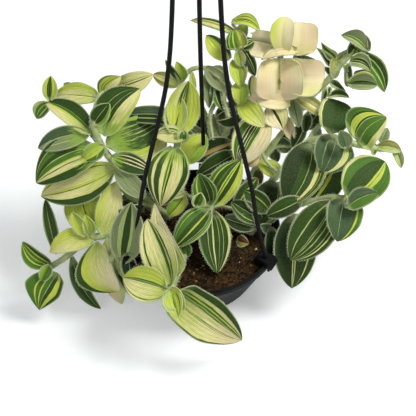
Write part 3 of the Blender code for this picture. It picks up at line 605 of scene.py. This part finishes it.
def leaf_stripes(tree, split, place, streaks, bands, more):
    """A blade's stripes, with what its row says of its foot, its ending and its specks."""
    # The stripes waver by a fraction of a millimetre, slowly along the leaf
    waver = add(tree, "TexNoise", {"Vector": streaks, "Scale": 1 / WAVER, "Detail": 3.0, "Roughness": 0.6})
    shift = add(tree, "MapRange", {"Value": waver, "From Min": 0.25, "From Max": 0.75,
                                   "To Min": -0.022, "To Max": 0.022})
    across = add(tree, "Math", {0: split, 1: shift}, operation="ADD")
    bands_across = colour_ramp(tree, across, read_bands(bands))
    # Where the blade has little green in it, it is greener towards the stem
    brightness = add(tree, "RGBToBW", {0: bands_across})
    paleness = add(tree, "MapRange", {"Value": brightness, "From Min": 0.3, "From Max": 0.6,
                                      "To Min": 0.0, "To Max": 0.9})
    smear = add(tree, "TexNoise", {"Vector": streaks, "Scale": 1 / SMEAR, "Detail": 3.0})
    smear_shift = add(tree, "MapRange", {"Value": smear, "From Min": 0.3, "From Max": 0.7,
                                         "To Min": -0.2, "To Max": 0.2})
    run = add(tree, "Math", {0: split.outputs[1], 1: smear_shift}, operation="ADD")
    near_stem = add(tree, "MapRange", {"Value": run, "From Min": 0.6, "From Max": 0.02,
                                       "To Min": 0.0, "To Max": 1.0})
    changes = [(add(tree, "Math", {0: paleness, 1: near_stem}, operation="MULTIPLY"), linear(more["base"]))]
    if "wash" in more:
        washed = add(tree, "MapRange", {"Value": run, "From Min": more["wash"] + 0.12,
                                        "From Max": more["wash"] - 0.08, "To Min": 0.0, "To Max": 0.85})
        changes.append((washed, linear(TINTS[more.get("wash_tint", "fresh")])))
    if "tip" in more:
        ending = add(tree, "MapRange", {"Value": run, "From Min": 0.55, "From Max": 1.0,
                                        "To Min": 0.0, "To Max": 0.85})
        pale_end = add(tree, "Math", {0: ending, 1: paleness}, operation="MULTIPLY")
        changes.append((pale_end, linear(TINTS[more["tip"]])))
    if "specks" in more:
        # Dead cells: brown dots under a millimetre across, on a few of the pattern's cells
        cells = add(tree, "TexVoronoi", {"Vector": place, "Scale": 1 / SPECK_CELL})
        chosen = add(tree, "SeparateColor", {0: cells.outputs["Color"]})
        few = add(tree, "Math", {0: chosen, 1: 1 - 0.3 * more["specks"]}, operation="GREATER_THAN")
        dot = add(tree, "MapRange", {"Value": cells.outputs["Distance"], "From Min": 0.14, "From Max": 0.08,
                                     "To Min": 0.0, "To Max": 0.8})
        dots = add(tree, "Math", {0: few, 1: dot}, operation="MULTIPLY")
        changes.append((dots, linear(TINTS["brown"])))
    stripes = bands_across
    for amount, colour in changes:
        mixed = add(tree, "Mix", {0: amount, 6: stripes, 7: colour}, data_type="RGBA")
        stripes = mixed.outputs[2]
    return stripes


def leaf_blade(name, bands, width, length, seed, more):
    """Living leaf: soft blade with stripes along its parallel veins and a velvet of hairs.

    The hairs lay a pale bloom over the green, strongest along the edge and at the foot.
    """
    material, tree, shader = new_material(name)
    uv = add(tree, "UVMap", {})
    split = add(tree, "SeparateXYZ", {0: uv})
    place = add(tree, "Mapping", {"Vector": uv, "Location": (seed, seed * 0.7, 0),
                                  "Scale": (width, length, 1)})
    streaks = add(tree, "Mapping", {"Vector": place, "Scale": (1, STREAK, 1)})
    stripes = leaf_stripes(tree, split, place, streaks, bands, more)
    # Parallel veins on wider ridges
    depth = more.get("veins", 1.0)
    ridges = add(tree, "TexWave", {"Vector": place, "Scale": WAVE / RIDGE_SPACING, "Distortion": 0.8},
                 wave_type="BANDS", bands_direction="X").outputs["Fac"]
    veins = add(tree, "TexWave", {"Vector": place, "Scale": WAVE / VEIN_SPACING, "Distortion": 0.6,
                                  "Detail": 1.0, "Detail Scale": 0.4},
                wave_type="BANDS", bands_direction="X").outputs["Fac"]
    mottle = add(tree, "TexNoise", {"Vector": streaks, "Scale": 1 / MOTTLE, "Detail": 4.0})
    vein_light = add(tree, "MapRange", {"Value": veins, "To Min": 1 - 0.16 * depth,
                                        "To Max": 1 + 0.12 * depth})
    mottle_light = add(tree, "MapRange", {"Value": mottle, "From Min": 0.3, "From Max": 0.7,
                                          "To Min": 1 - 0.12 * depth, "To Max": 1 + 0.12 * depth})
    light = add(tree, "Math", {0: vein_light, 1: mottle_light}, operation="MULTIPLY")
    flesh = add(tree, "VectorMath", {0: stripes, "Scale": light}, operation="SCALE")
    # Pale bloom of hairs: a fine nap everywhere, a clear line along the edge, and the foot
    combed = add(tree, "Mapping", {"Vector": place, "Scale": (1, 0.3, 1), "Rotation": (0, 0, 0.35)})
    nap = add(tree, "TexNoise", {"Vector": combed, "Scale": 1 / NAP, "Detail": 3.0})
    nap_amount = add(tree, "MapRange", {"Value": nap, "From Min": 0.45, "From Max": 0.75,
                                        "To Min": 0.0, "To Max": more["nap"]})
    off_middle = add(tree, "Math", {0: split, 1: 0.5}, operation="SUBTRACT")
    edge_side = add(tree, "Math", {0: off_middle}, operation="ABSOLUTE")
    edge_line = add(tree, "MapRange", {"Value": edge_side, "From Min": 0.5 - 1.0 / width,
                                       "From Max": 0.5 - 0.2 / width, "To Min": 0.0, "To Max": 0.6})
    root = add(tree, "MapRange", {"Value": split.outputs[1], "From Min": 0.16, "From Max": 0.0,
                                  "To Min": 0.0, "To Max": 0.45})
    pale = add(tree, "Math", {0: edge_line, 1: root}, operation="MAXIMUM")
    bloom = add(tree, "Math", {0: pale, 1: nap_amount}, operation="MAXIMUM")
    colour = add(tree, "Mix", {0: bloom, 6: flesh, 7: linear("#B4C08C")}, data_type="RGBA")
    rough = add(tree, "MapRange", {"Value": mottle, "To Min": 0.48, "To Max": 0.66})
    fine = add(tree, "Math", {0: veins, 1: nap}, operation="ADD")
    relief = add(tree, "Math", {0: fine, 1: 0.45, 2: ridges}, operation="MULTIPLY_ADD")
    bump = add(tree, "Bump", {"Height": relief, "Strength": 0.5 * depth, "Distance": 0.35 * MM})
    feed(tree, shader, {"Base Color": colour.outputs[2], "Roughness": rough, "Normal": bump,
                        "Sheen Weight": 0.03, "Sheen Roughness": 0.45,
                        "Sheen Tint": linear("#DDE3B8"), "Specular IOR Level": 0.12})
    return material


def stem_flesh():
    """Juicy herbaceous stem: pale green, faintly mottled."""
    material, tree, shader = new_material("stem_flesh")
    place = add(tree, "TexCoord", {}).outputs["Object"]
    mottle = add(tree, "TexNoise", {"Vector": place, "Scale": 1 / (STEM_MOTTLE * MM), "Detail": 4.0})
    colour = colour_ramp(tree, mottle, [(0.3, linear("#7F9150")), (0.7, linear("#B3BE84"))])
    bump = add(tree, "Bump", {"Height": mottle, "Strength": 0.3, "Distance": 0.3 * MM})
    feed(tree, shader, {"Base Color": colour, "Roughness": 0.55, "Sheen Weight": 0.3, "Normal": bump})
    return material


def plant_hair():
    """Clear-celled hairs, which look whitish green against the leaf."""
    material, tree, shader = new_material("plant_hair")
    place = add(tree, "TexCoord", {}).outputs["Object"]
    mottle = add(tree, "TexNoise", {"Vector": place, "Scale": 1 / (HAIR_MOTTLE * MM)})
    colour = colour_ramp(tree, mottle, [(0.0, linear("#C9D3B2")), (1.0, linear("#EEF0DC"))])
    feed(tree, shader, {"Base Color": colour, "Roughness": 0.5})
    return material


def moulded_plastic(name, code, roughness):
    """Injection-moulded polypropylene: near black with a soft gloss and a faint skin."""
    material, tree, shader = new_material(name)
    place = add(tree, "TexCoord", {}).outputs["Object"]
    skin = add(tree, "TexNoise", {"Vector": place, "Scale": 1 / (PLASTIC_SKIN * MM), "Detail": 2.0})
    wear = add(tree, "TexNoise", {"Vector": place, "Scale": 1 / (PLASTIC_WEAR * MM), "Detail": 5.0})
    worn = (*[c * 1.5 for c in linear(code)[:3]], 1.0)
    colour = colour_ramp(tree, wear, [(0.0, linear(code)), (1.0, worn)])
    rough = add(tree, "MapRange", {"Value": wear, "From Min": 0.3, "From Max": 0.7,
                                   "To Min": roughness - 0.06, "To Max": roughness + 0.08})
    bump = add(tree, "Bump", {"Height": skin, "Strength": 0.15, "Distance": 0.1 * MM})
    feed(tree, shader, {"Base Color": colour, "Roughness": rough, "Normal": bump, "IOR": 1.49,
                        "Specular IOR Level": 0.14})
    return material


def potting_mix(name, dark, light, grain):
    """Damp peat and bark: dark, matt and crumbly; grain is the size of its crumbs."""
    material, tree, shader = new_material(name)
    place = add(tree, "TexCoord", {}).outputs["Object"]
    cells = add(tree, "TexVoronoi", {"Vector": place, "Scale": 1 / (grain * MM), "Randomness": 1.0})
    shade = add(tree, "RGBToBW", {0: cells.outputs["Color"]})
    patches = add(tree, "TexNoise", {"Vector": place, "Scale": 1 / (SOIL_PATCH * MM), "Detail": 3.0})
    mixed = add(tree, "Math", {0: shade, 1: patches}, operation="MULTIPLY")
    amount = add(tree, "MapRange", {"Value": mixed, "From Min": 0.12, "From Max": 0.45})
    pick = add(tree, "Mix", {0: amount, 6: linear(dark), 7: linear(light)}, data_type="RGBA")
    crumb = add(tree, "TexNoise", {"Vector": place, "Scale": 1 / (SOIL_GRAIN * MM), "Detail": 6.0})
    light_amount = add(tree, "MapRange", {"Value": crumb, "From Min": 0.3, "From Max": 0.7,
                                          "To Min": 0.45, "To Max": 1.3})
    colour = add(tree, "VectorMath", {0: pick.outputs[2], "Scale": light_amount}, operation="SCALE")
    bump = add(tree, "Bump", {"Height": crumb, "Strength": 0.8, "Distance": 0.8 * MM})
    feed(tree, shader, {"Base Color": colour, "Roughness": 0.92, "Specular IOR Level": 0.15,
                        "Normal": bump})
    return material


def white_sweep():
    """Matt white paper sweep, which the eye sees as plain white outside the shadow."""
    material, tree, shader = new_material("white_sweep")
    path = add(tree, "LightPath", {})
    seen = add(tree, "Math", {0: path.outputs["Is Camera Ray"], 1: path.outputs["Is Glossy Ray"]},
               operation="MAXIMUM")
    glow = add(tree, "Math", {0: seen, 1: SWEEP_GLOW}, operation="MULTIPLY")
    feed(tree, shader, {"Base Color": linear("#E2E7EA"), "Roughness": 0.9, "Specular IOR Level": 0.0,
                        "Emission Color": linear("#FFFFFF"), "Emission Strength": glow})
    return material


# ---------------------------------------------------------------- leaves
Leaf = namedtuple("Leaf", "number foot tip width face arch sweep bands more", defaults=({},))


def on_face(right, up, out):
    """A step to the right, up and out of the plane that the plant faces from."""
    return Vector((right, 0, 0)) + UP * up + OUT * out


def reach_to(turn, length, rise):
    """A leaf's run: turned anticlockwise from the right, its length, and how far it comes out."""
    turn = math.radians(turn)
    return on_face(length * math.cos(turn), length * math.sin(turn), rise)


def held_leaf(shoot, row):
    """A leaf that the CAD holds: its tip is where its node's points crowd together."""
    more = row[-1] if isinstance(row[-1], dict) else {}
    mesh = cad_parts[f"{shoot}_leaf_{row[0]}"].data
    spots = {tuple(round(c / MM, 2) for c in vert.co - RIM) for vert in mesh.vertices}
    spots = [Vector(spot) for spot in spots]
    tip = max(spots, key=lambda spot: sum((spot - other).length < TIP_REACH for other in spots))
    middle = sum(spots, Vector()) / len(spots)
    axis = (middle - tip).normalized()
    farthest = sorted(spots, key=lambda spot: (spot - tip).dot(axis))[-FOOT_POINTS:]
    shift = on_face(*more.get("shift", (0, 0, 0)))
    foot = sum(farthest, Vector()) / len(farthest) + shift
    tip = foot + reach_to(*more["reach"]) if "reach" in more else tip + shift
    return Leaf(row[0], foot, tip, *row[1:])


def spot_along(route, share):
    """The route's point nearest to that share of its length."""
    return route[round(share * (len(route) - 1))]


def grown_leaf(stalks, row):
    """A sprig's leaf, with the foot and tip that its stalk and direction give."""
    stalk, share, step, reach, *looks = row
    foot = spot_along(stalks[stalk], share) + on_face(*step)
    return Leaf(0, foot, foot + reach_to(*reach), *looks)


def outline_width(along, outline):
    """How wide a blade is there, as a share of its widest."""
    base, widest, power, fullness = OUTLINES[outline]
    if along < widest:
        return base + (1 - base) * math.sin(along / widest * math.pi / 2) ** 0.85
    rest = (along - widest) / (1 - widest)
    return max(0.0, 1 - rest ** power) ** fullness


def leaf_form(leaf, seed):
    """A function that gives the point of a leaf's blade at (across -1..1, along 0..1)."""
    more = leaf.more
    length = (leaf.tip - leaf.foot).length
    axis = (leaf.tip - leaf.foot).normalized()
    normal = Vector((0, -1, leaf.face))
    normal = (normal - axis * normal.dot(axis)).normalized()
    side = axis.cross(normal)
    outline = more.get("outline", "ovate")
    dice = random.Random(seed)
    phase = dice.uniform(0, 6.3)
    waves = dice.uniform(1.2, 2.4)
    ripple = min(RIPPLE_MOST, leaf.width * RIPPLE_SHARE)
    cup = more.get("cup", dice.uniform(0.16, 0.30))

    def point(x, v):
        half = max(leaf.width * outline_width(v, outline), NARROWEST) / 2
        bend = 4 * v * (1 - v)
        clasp = max(0.0, 1 - v / CLASP_SHARE) ** 2
        groove = GROOVE_DEPTH * math.exp(-(x / GROOVE_SHARE) ** 2) * bend
        lift = (cup + 0.75 * clasp) * half * x * x + more.get("keel", 0) * half * abs(x) - groove
        turn = math.tau * waves * v + phase + (1.9 if x > 0 else 0)
        lift += ripple * abs(x) ** 3 * math.sin(turn) * bend
        tip_curl = -0.6 * length * max(0.0, v - 0.8) ** 2
        out = half * x * (1 - 0.35 * clasp)
        return (leaf.foot + axis * length * v + side * (out + leaf.sweep * bend)
                + normal * (leaf.arch * bend + lift + tip_curl))
    return point, normal


def deselect():
    """Leaves nothing selected, so that an operator acts on the new piece alone."""
    bpy.ops.object.select_all(action="DESELECT")


def put_in_scene(name, data):
    """An object for a mesh, curve, lamp or camera that was made as data."""
    piece = bpy.data.objects.new(name, data)
    bpy.context.scene.collection.objects.link(piece)
    return piece


def finish_piece(piece, finishes, slot, *nodes):
    """Puts a piece in the frame: its finishes and its body, and hides the CAD nodes it stands for."""
    for finish in finishes:
        piece.data.materials.append(finish)
    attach(piece, "root")
    if nodes:
        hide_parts(*nodes)


def make_leaf(name, leaf, seed):
    """One blade, grown from a flat grid."""
    deselect()
    bpy.ops.mesh.primitive_grid_add(x_subdivisions=LEAF_ACROSS, y_subdivisions=LEAF_ALONG, size=1)
    piece = bpy.context.object
    piece.name = piece.data.name = name
    point, _ = leaf_form(leaf, seed)
    for vert in piece.data.vertices:
        vert.co = RIM + point(2 * vert.co.x, vert.co.y + 0.5) * MM
    shell = piece.modifiers.new("thickness", "SOLIDIFY")
    shell.thickness = LEAF_THICKNESS * MM
    shell.offset = 0
    shell.material_offset = 1
    shell.material_offset_rim = 0
    bpy.ops.object.modifier_apply(modifier="thickness")
    bpy.ops.object.shade_smooth_by_angle(angle=math.radians(60))
    return piece


# ---------------------------------------------------------------- hairs
def any_way(dice):
    """A step in a random direction."""
    return Vector((dice.uniform(-1, 1), dice.uniform(-1, 1), dice.uniform(-1, 1)))


def hair_mesh(name, roots):
    """All the hairs of one shoot: a thin pointed sliver from each (root, direction, width)."""
    mesh = bpy.data.meshes.new(name)
    points, faces = [], []
    for root, way, width in roots:
        across = way.orthogonal().normalized() * width / 2
        first = len(points)
        points += [RIM + (root - across) * MM, RIM + (root + across) * MM, RIM + (root + way) * MM]
        faces.append((first, first + 1, first + 2))
    mesh.from_pydata(points, [], faces)
    return put_in_scene(name, mesh)


def margin_hairs(leaf, seed):
    """Hairs that stand out along both edges of a leaf."""
    point, _ = leaf_form(leaf, seed)
    dice = random.Random(seed + 5)
    count = int((leaf.tip - leaf.foot).length / MARGIN_SPACING)
    roots = []
    for index in range(count):
        v = 0.03 + 0.95 * (index + dice.random()) / count
        for x in (-1, 1):
            root, inner = point(x, v), point(0.8 * x, v)
            out = (root - inner).normalized() + (point(x, min(1, v + 0.02)) - root).normalized() * 0.35
            out += any_way(dice) * 0.3
            reach = MARGIN_HAIR * dice.uniform(0.6, 1.15)
            roots.append((root, out.normalized() * reach, MARGIN_HAIR_WIDTH))
    return roots


def foot_hairs(leaf, seed):
    """The tuft round the foot of a leaf, where it clasps the stem."""
    point, normal = leaf_form(leaf, seed)
    dice = random.Random(seed + 9)
    roots = []
    for _ in range(TUFT_HAIRS):
        root = point(dice.uniform(-1, 1), dice.uniform(0, 0.13))
        way = any_way(dice) + normal * 0.8
        roots.append((root, way.normalized() * STEM_HAIR * dice.uniform(0.6, 1.3), TUFT_HAIR_WIDTH))
    return roots


def stem_hairs(route, radii, seed):
    """Hairs all round a stem."""
    dice = random.Random(seed)
    roots = []
    for (a, b), radius in zip(zip(route, route[1:]), radii):
        along = (b - a).normalized()
        across = along.orthogonal().normalized()
        for _ in range(int((b - a).length * STEM_HAIR_COUNT)):
            way = Matrix.Rotation(dice.uniform(0, math.tau), 3, along) @ across
            spot = a.lerp(b, dice.random()) + way * radius * 0.95
            way = (way + along * dice.uniform(-0.3, 0.5)).normalized()
            roots.append((spot, way * STEM_HAIR * dice.uniform(0.5, 1.1), STEM_HAIR_WIDTH))
    return roots


# ---------------------------------------------------------------- stems
def smooth_route(points, count):
    """Points spaced evenly along a Catmull-Rom curve through the given ones."""
    knots = [Vector(p) for p in points]
    knots = [2 * knots[0] - knots[1], *knots, 2 * knots[-1] - knots[-2]]
    fine = []
    for a, b, c, d in zip(knots, knots[1:], knots[2:], knots[3:]):
        for step in range(20):
            t = step / 20
            fine.append(0.5 * (2 * b + (c - a) * t + (2 * a - 5 * b + 4 * c - d) * t * t
                               + (3 * b - a - 3 * c + d) * t ** 3))
    fine.append(knots[-2])
    reach = [0.0]
    for a, b in zip(fine, fine[1:]):
        reach.append(reach[-1] + (b - a).length)
    route, place = [], 0
    for index in range(count):
        wanted = reach[-1] * index / (count - 1)
        while place < len(fine) - 2 and reach[place + 1] < wanted:
            place += 1
        share = (wanted - reach[place]) / (reach[place + 1] - reach[place])
        route.append(fine[place].lerp(fine[place + 1], share))
    return route


def tube(name, route, radii, sides):
    """A round bar along a route, as a mesh with closed ends."""
    curve = bpy.data.curves.new(name, "CURVE")
    curve.dimensions = "3D"
    curve.bevel_depth = MM
    curve.bevel_resolution = sides // 4
    curve.use_fill_caps = True
    spline = curve.splines.new("POLY")
    spline.points.add(len(route) - 1)
    for spot, place, radius in zip(spline.points, route, radii):
        spot.co = (*(RIM + place * MM), 1)
        spot.radius = radius
    deselect()
    piece = put_in_scene(name, curve)
    piece.select_set(True)
    bpy.context.view_layer.objects.active = piece
    bpy.ops.object.convert(target="MESH")
    weld = piece.modifiers.new("weld", "WELD")
    weld.merge_threshold = 0.01 * MM
    bpy.ops.object.modifier_apply(modifier="weld")
    bpy.ops.object.shade_smooth_by_angle(angle=math.radians(50))
    return piece


def make_stem(name, points, start, end, feet):
    """A stem along a route, a little swollen where each leaf grows from it."""
    length = sum(math.dist(a, b) for a, b in zip(points, points[1:]))
    route = smooth_route(points, max(12, round(length / STEM_STEP)))
    radii = []
    for index, spot in enumerate(route):
        near = min([(spot - foot).length for foot in feet], default=99)
        radius = start + (end - start) * index / (len(route) - 1)
        radii.append(radius + NODE_SWELLING * math.exp(-(max(0, near - 4) / 3) ** 2))
    return tube(name, route, radii, 12), route, radii


# ---------------------------------------------------------------- plant
HAIR = plant_hair()
FLESH = stem_flesh()
UNDER = leaf_blade("leaf_underside", "grey 12, pale 2, grey 22, pale 3, grey 20, pale 2, grey 39",
                   24, 50, 3, {"base": STEM_GREEN, "nap": BLOOM})


def grow_leaf(shoot, index, leaf):
    """Makes and finishes one leaf, and gives back its hairs."""
    node = f"{shoot}_leaf_{leaf.number}"
    name = f"{node}_blade" if leaf.number else f"{shoot}_small_leaf_{index + 1}"
    seed = sum(ord(letter) for letter in shoot) * 31 + index * 7
    piece = make_leaf(name, leaf, seed)
    length = (leaf.tip - leaf.foot).length
    more = {"base": SHOOT_BASES.get(shoot, STEM_GREEN), "nap": SHOOT_NAPS.get(shoot, BLOOM), **leaf.more}
    blade = leaf_blade(f"{name}_blade", leaf.bands, leaf.width, length, seed % 97, more)
    finish_piece(piece, [blade, UNDER], f"{shoot}_leaf", *([node] if leaf.number else []))
    return margin_hairs(leaf, seed) + foot_hairs(leaf, seed)


def grow_shoot(shoot):
    """One shoot: its leaves, its stalk and side stalks, and all their hairs."""
    side_stems = SIDE_STEMS.get(shoot, ())
    stalks = [smooth_route(STEMS[shoot], ROUTE_POINTS)]
    for radius, share, run in side_stems:
        start = spot_along(stalks[0], share)
        stalks.append(smooth_route([start + on_face(*step) for step in run], ROUTE_POINTS))
    leaves = [held_leaf(shoot, row) for row in CAD_LEAVES[shoot]]
    for foot, tip, *looks in SMALL_LEAVES.get(shoot, ()):
        leaves.append(Leaf(0, Vector(foot), Vector(tip), *looks))
    leaves += [grown_leaf(stalks, row) for row in SPRIG_LEAVES.get(shoot, ())]
    hairs = []
    for index, leaf in enumerate(leaves):
        hairs += grow_leaf(shoot, index, leaf)
    root = (*STEMS[shoot][0][:2], SOIL_TOP - 1)
    stem, route, radii = make_stem(f"{shoot}_stalk", [root, *STEMS[shoot]], STEM_RADIUS, STEM_TIP_RADIUS,
                                   [leaf.foot for leaf in leaves])
    finish_piece(stem, [FLESH], "stem", f"{shoot}_stem")
    hairs += stem_hairs(route, radii, len(shoot))
    for index, (radius, share, run) in enumerate(side_stems):
        stem, route, radii = make_stem(f"{shoot}_side_stalk_{index + 1}", stalks[index + 1][::6], radius,
                                       radius * SIDE_STEM_TAPER, [])
        finish_piece(stem, [FLESH], "stem")
        hairs += stem_hairs(route, radii, index)
    finish_piece(hair_mesh(f"{shoot}_hairs", hairs), [HAIR], "stem")


for shoot in CAD_LEAVES:
    grow_shoot(shoot)


# ---------------------------------------------------------------- potting mix
def make_soil():
    """The top of the potting mix: a rough disc that dips to the pot's wall."""
    deselect()
    bpy.ops.mesh.primitive_grid_add(x_subdivisions=SOIL_FACES, y_subdivisions=SOIL_FACES, size=2)
    soil = bpy.context.object
    soil.name = soil.data.name = "potting_mix_top"
    for vert in soil.data.vertices:
        x, y = vert.co.x, vert.co.y
        x, y = x * math.sqrt(1 - y * y / 2) * SOIL_RADIUS, y * math.sqrt(1 - x * x / 2) * SOIL_RADIUS
        dip = max(0.0, (math.hypot(x, y) - SOIL_SHOULDER) / (SOIL_RADIUS - SOIL_SHOULDER))
        rough = sum(noise.noise(Vector((x, y, layer)) / size) * height
                    for size, layer, height in SOIL_LUMPS)
        level = SOIL_TOP + (SOIL_EDGE - SOIL_TOP) * dip + rough * (1 - 0.6 * dip)
        vert.co = RIM + Vector((x, y, level)) * MM
    shell = soil.modifiers.new("depth", "SOLIDIFY")
    shell.thickness = SOIL_DEPTH * MM
    shell.offset = -1
    bpy.ops.object.modifier_apply(modifier="depth")
    # The sides draw in with the pot's wall
    for vert in soil.data.vertices:
        if vert.co.z < RIM.z + (SOIL_EDGE - 3) * MM:
            vert.co.x = RIM.x + (vert.co.x - RIM.x) * 0.95
            vert.co.y = RIM.y + (vert.co.y - RIM.y) * 0.95
    bpy.ops.object.shade_smooth_by_angle(angle=math.radians(50))
    return soil


def make_crumbs():
    """Bits of bark, fibre and grit that lie loose on the potting mix."""
    dice = random.Random(4)
    build = bmesh.new()
    for _ in range(CRUMBS):
        out = SOIL_SHOULDER * math.sqrt(dice.random()) * 1.06
        turn = dice.uniform(0, math.tau)
        size = dice.uniform(0.5, 1.7) * (0.6 if dice.random() < 0.5 else 1)
        lie = Vector((out * math.cos(turn), out * math.sin(turn), SOIL_TOP))
        spot = Matrix.Translation(RIM + lie * MM)
        spin = Matrix.Rotation(dice.uniform(0, math.tau), 4,
                               (dice.random(), dice.random(), dice.random() + 0.1))
        shape = Matrix.Diagonal((1, dice.uniform(0.4, 0.9), dice.uniform(0.3, 0.7), 1))
        made = bmesh.ops.create_icosphere(build, subdivisions=1, radius=size * MM,
                                          matrix=spot @ spin @ shape)
        kind = dice.choices(range(len(CRUMB_KINDS)), CRUMB_KINDS)[0]
        for face in {face for vert in made["verts"] for face in vert.link_faces}:
            face.material_index = kind
    mesh = bpy.data.meshes.new("potting_mix_crumbs")
    build.to_mesh(mesh)
    build.free()
    return put_in_scene("potting_mix_crumbs", mesh)


finish_piece(make_soil(), [potting_mix("potting_mix", "#150F08", "#4A3619", 1.6)], "soil", "soil")
CRUMB_FINISHES = [
    potting_mix("bark_dark", "#1C130A", "#33230F", 1.1),
    potting_mix("bark_brown", "#3A2712", "#5C4220", 1.1),
    potting_mix("coir_fibre", "#7A5E2C", "#A98A4C", 1.1),
    potting_mix("perlite_grit", "#B9AE88", "#DDD6BC", 1.1),
]
finish_piece(make_crumbs(), CRUMB_FINISHES, "soil")


# ---------------------------------------------------------------- pot and hanger
def paint(node, finish):
    """Gives a CAD piece that is seen as it stands its finish."""
    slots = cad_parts[node].data.materials
    slots.clear()
    slots.append(finish)


paint("pot", moulded_plastic("pot_polypropylene", "#0C0C0D", 0.58))
HANGER_PLASTIC = moulded_plastic("hanger_polypropylene", "#060607", 0.55)
paint("hanger_hub", HANGER_PLASTIC)
paint("hanger_hook", HANGER_PLASTIC)
for side in ("back", "left", "right"):
    paint(f"clip_{side}", HANGER_PLASTIC)
    paint(f"strand_{side}", HANGER_PLASTIC)

# ---------------------------------------------------------------- stage
FLOOR_SIZE = 8000
KEY_PLACE = (660, 100, 980)
FILL_PLACE = (-400, -900, 800)
CAMERA_PLACE = (5.95, -398.2, 488.4)
CAMERA_TILT = 40.5      # degrees up from looking straight down
CAMERA_LENS = 73.3      # with a sensor this wide
CAMERA_SENSOR = 36

deselect()
bpy.ops.mesh.primitive_plane_add(size=FLOOR_SIZE * MM, location=(0, 0, POT_LOW.z))
floor = bpy.context.object
floor.name = "floor"
floor.data.materials.append(white_sweep())


def soft_lamp(name, power, place, width, colour=(1, 1, 1)):
    """A square lamp that points at the plant."""
    data = bpy.data.lights.new(name, "AREA")
    data.energy = power
    data.color = colour
    data.size = width * MM
    light = put_in_scene(name, data)
    light.location = RIM + Vector(place) * MM
    light.rotation_euler = Vector(place).to_track_quat("Z", "Y").to_euler()


soft_lamp("key", 13.5, KEY_PLACE, 450, (1, 0.985, 0.95))
soft_lamp("fill", 4.0, FILL_PLACE, 800)
world = bpy.data.worlds.new("studio")
world.use_nodes = True
world.node_tree.nodes["Background"].inputs["Color"].default_value = (1.0, 1.0, 0.98, 1)
world.node_tree.nodes["Background"].inputs["Strength"].default_value = 0.36
bpy.context.scene.world = world

camera_data = bpy.data.cameras.new("camera")
camera_data.lens = CAMERA_LENS
camera_data.sensor_width = CAMERA_SENSOR
camera = put_in_scene("camera", camera_data)
camera.location = RIM + Vector(CAMERA_PLACE) * MM
camera.rotation_euler = (math.radians(CAMERA_TILT), 0, 0)
bpy.context.scene.camera = camera
bpy.context.scene.view_settings.view_transform = "Standard"
